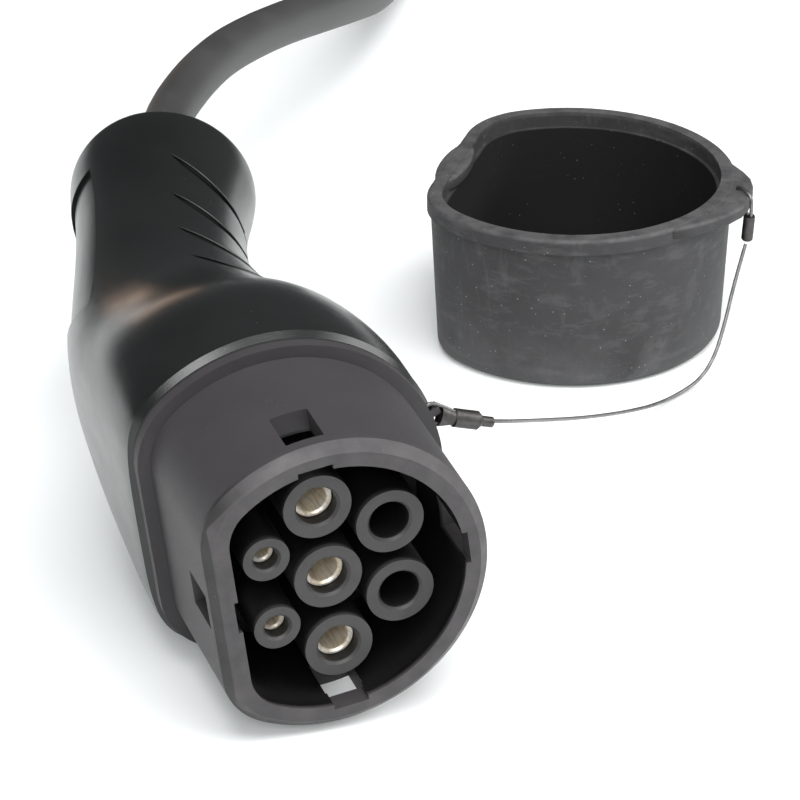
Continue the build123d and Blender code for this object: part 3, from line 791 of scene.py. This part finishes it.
@dataclass
class Studio:
    """Camera, lamps, floor and surroundings."""

    camera_place: Point = (-331.03, -887.75, 496.97)
    camera_pitch: float = 26.825
    camera_azimuth: float = 19.79
    lens: float = 227.67
    floor_half: float = 6.0
    floor_colour: Colour = (0.86, 0.875, 0.875)
    floor_glow: Colour = (0.96, 1.0, 0.995)
    floor_glow_strength: float = 0.12
    sky: Colour = (0.93, 0.96, 1.0)
    sky_strength: float = 0.14
    lamps: tuple[Lamp, ...] = (
        Lamp("top_softbox", (-0.05, -0.55, 1.25), (1.1, 0.9), 22.0),
        Lamp("left_softbox", (-1.2, -0.1, 0.45), (0.6, 0.8), 3.4, tint=(0.95, 0.985, 1.0)),
        Lamp("right_softbox", (1.1, -0.35, 0.7), (0.8, 0.8), 13.0, aim=(0.0, -0.02, 0.03)),
        Lamp("front_fill", (-0.55, -1.35, 0.95), (0.7, 0.5), 11.0),
        Lamp("warm_glow", (0.02, 1.25, 0.02), (0.30, 0.12), 0.24, (-0.07, -0.03, 0.065), (1.0, 0.64, 0.42)))

    def camera(self) -> None:
        """Makes the camera."""
        data = bpy.data.cameras.new("camera")
        data.lens = self.lens
        data.sensor_width = 36.0
        data.clip_start, data.clip_end = 0.01, 50.0
        camera = bpy.data.objects.new("camera", data)
        camera.location = Vector(self.camera_place) * MM
        pitch, azimuth = math.radians(90 - self.camera_pitch), -math.radians(self.camera_azimuth)
        camera.rotation_euler = Euler((pitch, 0.0, azimuth))
        bpy.context.scene.collection.objects.link(camera)
        bpy.context.scene.camera = camera

    def floor(self) -> None:
        """Makes the pale floor."""
        work = bmesh.new()
        bmesh.ops.create_grid(work, x_segments=1, y_segments=1, size=self.floor_half)
        mesh = bpy.data.meshes.new("floor")
        work.to_mesh(mesh)
        work.free()
        floor = bpy.data.objects.new("floor", mesh)
        bpy.context.scene.collection.objects.link(floor)
        mesh.materials.append(self._floor_material())

    def _floor_material(self) -> bpy.types.Material:
        """White surface that keeps the object's shadow and shows white in reflections.

        Returns:
            The material.
        """
        s = Shader("floor_white")
        camera, glossy, through = (s.node("ShaderNodeLightPath", output=f"Is {kind} Ray")
                                   for kind in ("Camera", "Glossy", "Transmission"))
        s.set(Base_Color=self.floor_colour, Roughness=0.6, Specular_IOR_Level=0.1)
        s.set(Emission_Color=self.floor_glow,
              Emission_Strength=(camera + glossy + through) * self.floor_glow_strength)
        return s.material

    def surroundings(self) -> None:
        """Makes the world's soft white light."""
        world = bpy.data.worlds.new("surroundings")
        bpy.context.scene.world = world
        world.use_nodes = True
        back = world.node_tree.nodes["Background"]
        back.inputs["Color"].default_value = (*self.sky, 1.0)
        back.inputs["Strength"].default_value = self.sky_strength
        bpy.context.scene.view_settings.view_transform = "Standard"

    def build(self) -> None:
        """Makes everything that isn't the object."""
        for lamp in self.lamps:
            lamp.build()
        self.floor()
        self.surroundings()


# ---------------------------------------------------------------- cords
CABLE_ROUTE = [
    (-52.5, 36.45, 43.2),
    (-40.4, 81.7, 48.4),
    (-15.6, 121.7, 47.5),
    (11.67, 158.15, 38.5),
    (46.27, 199.75, 24.1),
    (67.07, 234.35, 11.0),
    (84.57, 267.75, 6.95),
    (96.57, 288.54, 6.95),
]
LANYARD_ROUTE = [
    (-14.05, -60.81, 44.6),
    (-11.22, -59.47, 43.4),
    (-5.07, -52.39, 39.0),
    (6.27, -37.27, 30.0),
    (18.62, -21.27, 20.5),
    (30.9, -6.6, 12.0),
    (42.15, 5.06, 5.5),
    (51.63, 12.68, 1.8),
    (59.06, 17.53, 0.75),
    (65.6, 20.9, 1.6),
    (70.2, 23.6, 5.2),
    (74.0, 27.2, 11.4),
    (77.6, 31.0, 18.8),
    (81.4, 34.2, 26.1),
]


@dataclass
class ChargingLead:
    """The thick cable: its seen stretch, the coil of the rest and its bare end."""

    diameter: float = 10.5
    exit: Point = (-43.8, 61.6, 46.1)
    coil_place: tuple[float, float] = (53.47, 365.35)
    coil_entry: float = -30.0
    coil_floor: float = 1.7
    ring_radii: tuple[float, ...] = (75.75, 65.25, 54.75, 44.25)
    points_per_turn: int = 18
    shift_points: int = 4
    tail_radius: float = 50.2
    tail_from: float = 100.0
    tail_to: float = 220.0
    tail_lift: float = 1.2
    tail_points: int = 8
    tail_end: float = 1.5
    tail_gap: float = 2.5
    colours: dict[str, Colour] = field(default_factory=lambda: {
        "l1": (0.17, 0.065, 0.03), "n": (0.03, 0.12, 0.42),
        "pe": (0.10, 0.36, 0.07), "cp": (0.62, 0.22, 0.03)})

    def _at(self, angle: float, radius: float, height: float) -> Point:
        """Point of the coil, from an angle in degrees."""
        a = math.radians(angle)
        return (self.coil_place[0] + radius * math.cos(a), self.coil_place[1] + radius * math.sin(a), height)

    def _winding(self) -> list[Point]:
        """Turns of the coil, layer on layer, each a diameter from the next.

        Returns:
            Control points in millimetres.
        """
        step = 360.0 / self.points_per_turn
        spread = 1 / math.cos(math.pi / self.points_per_turn)
        inward, outward = self.ring_radii, self.ring_radii[::-1]
        turns = [(radius, layer) for layer, ring in enumerate((inward, outward, inward)) for radius in ring]
        points = []
        for k, (radius, layer) in enumerate(turns):
            height = self.coil_floor + self.diameter * (layer + 0.5)
            after_radius, after_layer = turns[k + 1] if k + 1 < len(turns) else (radius, layer)
            after_height = self.coil_floor + self.diameter * (after_layer + 0.5)
            for j in range(self.points_per_turn):
                angle = self.coil_entry + (j + 0.5) * step
                if k == len(turns) - 1 and angle > self.tail_from - self.tail_gap * step:
                    break
                share = max(0.0, (j + 1.5 - self.points_per_turn + self.shift_points) / self.shift_points)
                share = min(share, 1.0) * math.pi / 2
                r = radius + (after_radius - radius) * math.sin(share)
                h = height + (after_height - height) * (1 - math.cos(share))
                points.append(self._at(angle, r * spread, h))
        return points

    def _tail(self) -> list[Point]:
        """Last part of a turn, which lies on top of the others.

        Returns:
            Control points in millimetres.
        """
        height = self.coil_floor + self.diameter * 3.5 + self.tail_lift
        step = (self.tail_to - self.tail_from) / self.tail_points
        points = [self._at(self.tail_from + k * step, self.tail_radius, height)
                  for k in range(self.tail_points + 1)]
        a = math.radians(self.tail_to)
        x, y, z = points[-1]
        points.append((x - self.tail_end * math.sin(a), y + self.tail_end * math.cos(a), z))
        return points

    def build(self) -> None:
        """Makes the cable and dresses what is on it."""
        sheath = SheathVinyl().material()
        points = CABLE_ROUTE + self._winding() + self._tail()
        cable = cord_curve("charging_lead", points, self.diameter, sheath, 8)
        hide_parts("charging_cable", "cable_coil")
        on_it = ["coil_tie_1", "coil_tie_2", "lead_end_sleeve"]
        on_it += [f"lead_{piece}_{name}" for piece in ("core", "ferrule") for name in self.colours]
        for name, colour in self.colours.items():
            insulation = PlainPlastic(f"insulation_{name}", colour, 0.35).material()
            dress([f"lead_core_{name}", f"core_{name}"], insulation)
        dress([f"lead_ferrule_{name}" for name in self.colours],
              BrushedMetal("tinned_ferrule", (0.62, 0.62, 0.63)).material())
        dress(["coil_tie_1", "coil_tie_2"], PlainPlastic("strap_black", (0.02, 0.02, 0.021), 0.6).material())
        dress(["lead_end_sleeve", "cable_grommet"],
              SheathVinyl("grommet_rubber", (0.018, 0.018, 0.018)).material())


@dataclass
class Lanyard:
    """Thin steel wire between the connector and the cap, with a loop and a crimp at each end."""

    diameter: float = 0.8
    lug: Point = (35.74, 34.6, 9.576)
    lean: float = -26.0
    droop: Point = (-1.5, -0.4, -1.8)
    crimp_size: float = 1.08
    crimp_profile: Profile = (
        (0.9, 1.5), (0.9, 2.05), (1.4, 2.0), (3.4, 1.45), (3.6, 1.45), (3.9, 1.75),
        (8.6, 1.75), (9.2, 1.25), (9.5, 1.0), (11.7, 1.0), (11.9, 0.8), (11.9, 0.0))
    flare_end: float = 3.2
    flare_flatness: float = 0.72
    loop_line: Profile = (
        (3.6, 1.2), (2.2, 1.6), (0.8, 1.95), (-0.8, 2.35), (-2.2, 2.1), (-2.6, 0.2),
        (-2.2, -1.5), (-0.8, -1.75), (0.8, -1.7), (2.2, -1.45), (3.6, -0.9))
    ear: Point = (81.34, 39.67, 0.0)
    ear_lean: float = -75.0
    cap_crimp_top: Point = (4.6, 0.0, 32.3)
    cap_crimp_lean: float = 96.0
    cap_crimp_profile: Profile = (
        (0.0, 0.9), (0.0, 1.2), (0.3, 1.3), (5.7, 1.3), (6.0, 1.1), (6.0, 0.0))
    cap_loop_line: Profile = (
        (4.2, 30.6), (4.0, 33.2), (1.8, 33.2), (0.0, 33.4), (0.0, 37.2), (0.6, 37.7),
        (3.2, 37.7), (5.0, 36.8), (5.3, 34.6), (5.0, 30.6))

    def build(self) -> None:
        """Makes the wire, its loops and its crimps."""
        steel = BrushedMetal("lanyard_steel", (0.22, 0.215, 0.21), 0.34, 0.5).material()
        dull = BrushedMetal("crimp_dull", (0.105, 0.10, 0.098), 0.42, 0.5).material()
        wire = cord_curve("lanyard_line", LANYARD_ROUTE, self.diameter, steel, 5)
        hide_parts("lanyard_wire")
        pieces = self._connector_end(steel, dull) + self._cap_end(steel, dull)

    def _connector_end(self, steel: bpy.types.Material, dull: bpy.types.Material) -> list[bpy.types.Object]:
        """Makes the loop and the crimp at the lug.

        Args:
            steel: Finish of the wire.
            dull: Finish of the crimp.

        Returns:
            Both pieces.
        """
        place = Matrix.Translation(Vector(self.droop) * MM) @ NOSE.matrix()
        place = place @ Matrix.Translation(Vector(self.lug) * MM) @ Matrix.Rotation(math.radians(90), 4, "X")
        place = place @ Matrix.Rotation(math.radians(self.lean), 4, "Z") @ Matrix.Scale(self.crimp_size, 4)
        back = place.inverted()
        crimp = turned(self.crimp_profile, place, 40)
        squeeze = place @ Matrix.Diagonal((1.0, 1.0, self.flare_flatness, 1.0)) @ back
        flare = [vert for vert in crimp.verts if (back @ vert.co).x < self.flare_end * MM]
        bmesh.ops.transform(crimp, matrix=squeeze, verts=flare)
        line = [place @ (Vector((x, y, 0.0)) * MM) for x, y in self.loop_line]
        return [finish_piece(crimp, "crimp_at_connector", dull, ["lanyard_crimp_plug"]),
                bent_wire("loop_at_connector", line, self.diameter, steel, "lanyard_loop_plug")]

    def _cap_end(self, steel: bpy.types.Material, dull: bpy.types.Material) -> list[bpy.types.Object]:
        """Makes the loop and the crimp at the cap's ear.

        Args:
            steel: Finish of the wire.
            dull: Finish of the crimp.

        Returns:
            Both pieces.
        """
        place = Matrix.Translation(Vector(self.ear) * MM)
        place = place @ Matrix.Rotation(math.radians(self.ear_lean), 4, "Z")
        down = place @ Matrix.Translation(Vector(self.cap_crimp_top) * MM)
        down = down @ Matrix.Rotation(math.radians(self.cap_crimp_lean), 4, "Y")
        crimp = turned(self.cap_crimp_profile, down, 32)
        line = [place @ (Vector((x, 0.0, z)) * MM) for x, z in self.cap_loop_line]
        return [finish_piece(crimp, "crimp_at_cap", dull, ["lanyard_crimp_cap"]),
                bent_wire("loop_at_cap", line, self.diameter, steel, "lanyard_loop_cap")]


# ---------------------------------------------------------------- connector and cap
class ContactSize(Enum):
    """The two sizes of contact."""

    POWER = "power"
    SIGNAL = "signal"


@dataclass
class Connector:
    """The hand-held connector: shell, nose, carrier and contacts."""

    contacts: dict[str, tuple[ContactSize, float, float]] = field(default_factory=lambda: {
        "l1": (ContactSize.POWER, 0.35, 16.2),
        "pe": (ContactSize.POWER, 0.35, 0.0),
        "n": (ContactSize.POWER, 0.35, -16.2),
        "cp": (ContactSize.SIGNAL, -11.05, 7.95),
        "pp": (ContactSize.SIGNAL, -11.05, -7.95)})
    sockets: dict[ContactSize, Profile] = field(default_factory=lambda: {
        ContactSize.POWER: (
            (22.0, 0.0), (22.0, 3.0), (0.45, 3.0), (0.0, 3.4), (0.0, 3.8), (0.2, 3.95),
            (26.7, 3.95), (26.7, 5.05), (28.3, 5.05), (28.3, 2.8), (37.3, 2.8), (37.3, 0.0)),
        ContactSize.SIGNAL: (
            (17.0, 0.0), (17.0, 1.5), (0.3, 1.5), (0.0, 1.8), (0.0, 2.2), (0.15, 2.35),
            (26.7, 2.35), (26.7, 3.45), (28.3, 3.45), (28.3, 1.7), (37.3, 1.7), (37.3, 0.0))})
    socket_depth: float = 7.3
    gill_places: tuple[Point, ...] = (
        (135.0, 7.86, 16.9), (120.8, 4.0, 13.3), (106.6, 1.3, 9.2), (92.4, 0.25, 5.7))
    gill_start: tuple[float, float] = (5.4, 6.5)
    gill_end: tuple[float, float] = (19.3, -2.5)
    gill_bow: float = 0.25
    gill_steps: int = 14
    gill_lip: float = 0.42
    above_handle: float = 60.0
    lug_angle: float = 15.0
    lug_root: float = 34.7
    lug_half: float = 1.6
    lug_tuck: float = 1.3

    def _tuck_lug(self, nose: bpy.types.Object) -> None:
        """Draws the lanyard lug of the copy closer to the flange.

        Args:
            nose: The nose moulding.
        """
        place = NOSE.matrix()
        back = place.inverted()
        out = Vector((math.cos(math.radians(self.lug_angle)), 0.0, math.sin(math.radians(self.lug_angle))))
        for vertex in nose.data.vertices:
            point = back @ vertex.co
            aside = point - out * point.dot(out)
            if point.dot(out) > self.lug_root * MM and aside.xz.length < self.lug_half * MM:
                vertex.co = place @ (point - out * self.lug_tuck * MM)

    def _gill_lips(self, shell: bpy.types.Object, finish: bpy.types.Material) -> None:
        """Makes the thin raised lip along each groove of the grip.

        Args:
            shell: The handle, whose surface the lips follow.
            finish: The handle's finish.
        """
        tree = BVHTree.FromObject(shell, bpy.context.evaluated_depsgraph_get())
        down = (NOSE.matrix().to_3x3() @ Vector((0, 0, -1))).normalized()
        start, end = Vector(self.gill_start), Vector(self.gill_end)
        for k, (depth, side, lean) in enumerate(self.gill_places):
            a = math.radians(lean)
            points = []
            for j in range(self.gill_steps + 1):
                share = j / self.gill_steps
                across, along = start.lerp(end, share)
                along -= self.gill_bow * 4 * share * (1 - share)
                above = NOSE.point(side + across * math.cos(a) + along * math.sin(a),
                                   depth - across * math.sin(a) + along * math.cos(a), self.above_handle)
                hit = tree.ray_cast(above, down)[0]
                if hit is not None:
                    points.append(hit)
            bent_wire(f"gill_lip_{k + 1}", points, self.gill_lip, finish, None)

    def _contacts(self) -> None:
        """Makes the turned contacts in their sleeves."""
        metal = PlatedContact().material()
        for name, (size, x, z) in self.contacts.items():
            place = NOSE.matrix() @ Matrix.Translation(Vector((x, self.socket_depth, z)) * MM)
            place = place @ Matrix.Rotation(math.radians(90), 4, "Z")
            work = turned(self.sockets[size], place, 48)
            finish_piece(work, f"socket_{name}", metal, [f"contact_{name}"])

    def build(self) -> None:
        """Makes and dresses the connector's pieces."""
        satin = SatinShell().material()
        shell = smooth_copy("body_shell", "handle_shell", satin, 30.0)
        self._gill_lips(shell, satin)
        nose = smooth_copy("nose_shroud", "nose_moulding", EtchedNose().material())
        self._tuck_lug(nose)
        sleeves = SleevePlastic().material()
        smooth_copy("contact_carrier", "carrier_moulding", sleeves)
        self._contacts()
        dress(["contact_retainer", "cable_clamp"], sleeves)
        dress(["flange_seal"], PlainPlastic("seal_black", (0.012, 0.012, 0.012), 0.6).material())
        dress(["retainer_screws", "clamp_screws"], BrushedMetal("screw_steel", (0.55, 0.55, 0.56)).material())
        dress(["coding_resistor"], PlainPlastic("resistor_lacquer", (0.25, 0.42, 0.45), 0.25).material())


@dataclass
class DustCap:
    """The rubber cap that stands beside the connector."""

    height: float = 37.0
    sink: float = 0.12
    lip_reach: float = 36.2
    lip_flat: float = 28.3
    ear: Profile = (
        (24.8, 26.0), (28.2, 21.4), (32.2, 16.0), (36.4, 11.6), (38.6, 8.6), (39.9, 5.2), (40.7, 1.0),
        (40.9, -3.0), (40.4, -7.0), (38.6, -11.2), (36.0, -15.2), (32.6, -19.2), (28.6, -22.6))
    ear_inner: float = 34.3
    inner_from: float = -37.0
    inner_step: float = 7.0
    inner_points: int = 13
    ear_thickness: float = 2.9
    ear_edge: float = 0.75
    lobe_centre: tuple[float, float] = (-26.5, -1.5)
    lobe_half: tuple[float, float] = (3.3, 11.0)
    lobe_points: int = 40
    lobe_thickness: float = 3.2
    lobe_edge: float = 0.8

    def build(self) -> None:
        """Makes and dresses the cap."""
        rubber = DustyRubber().material()
        cap = smooth_copy("dust_cap", "cap_moulding", rubber, 42.0)
        self._trim(cap)
        ear = self._top(self._ear_outline())
        finish_piece(slab(ear, self.ear_thickness, self.ear_edge), "cap_ear", rubber)
        step = 360.0 / self.lobe_points
        lobe = self._top(self._arc(self.lobe_centre, self.lobe_half, 0.0, step, self.lobe_points))
        finish_piece(slab(lobe, self.lobe_thickness, self.lobe_edge), "cap_lobe", rubber)

    def _arc(self, centre: tuple[float, float], half: tuple[float, float], start: float, step: float,
             count: int) -> list[tuple[float, float]]:
        """Points of a round or oval arc.

        Args:
            centre: Its middle, in millimetres on the cap's axes.
            half: Its half width along x and along y.
            start: Angle of the first point, in degrees.
            step: Degrees from point to point.
            count: How many points.

        Returns:
            The points, in millimetres.
        """
        angles = [math.radians(start + k * step) for k in range(count)]
        return [(centre[0] + half[0] * math.cos(a), centre[1] + half[1] * math.sin(a)) for a in angles]

    def _ear_outline(self) -> list[tuple[float, float]]:
        """Outline of the ear: from the lip round its tip, and back along the lip's inside."""
        inner = (self.ear_inner, self.ear_inner)
        return [*self.ear, *self._arc((0.0, 0.0), inner, self.inner_from, self.inner_step, self.inner_points)]

    def _top(self, outline: list[tuple[float, float]]) -> list[Vector]:
        """Corners of an outline just below the cap's top, in the frame."""
        return [CAP.matrix() @ (Vector((x, y, self.height - self.sink)) * MM) for x, y in outline]

    def _trim(self, cap: bpy.types.Object) -> None:
        """Draws the plain ear and tab of the copy back into the lip, where the shaped ones cover them.

        Args:
            cap: The cap's moulding.
        """
        place = CAP.matrix()
        back = place.inverted()
        for vertex in cap.data.vertices:
            point = back @ vertex.co
            reach = point.xy.length
            if point.x > 0 and reach > (self.lip_reach + 0.15) * MM:
                point.xy *= self.lip_reach * MM / reach
            if point.x < -(self.lip_flat + 0.1) * MM:
                point.x = -self.lip_flat * MM
            vertex.co = place @ point


def main() -> None:
    """Builds the scene in order."""
    studio = Studio()
    studio.camera()
    ChargingLead().build()
    Lanyard().build()
    studio.build()
    Connector().build()
    DustCap().build()


if __name__ == "__main__":
    main()
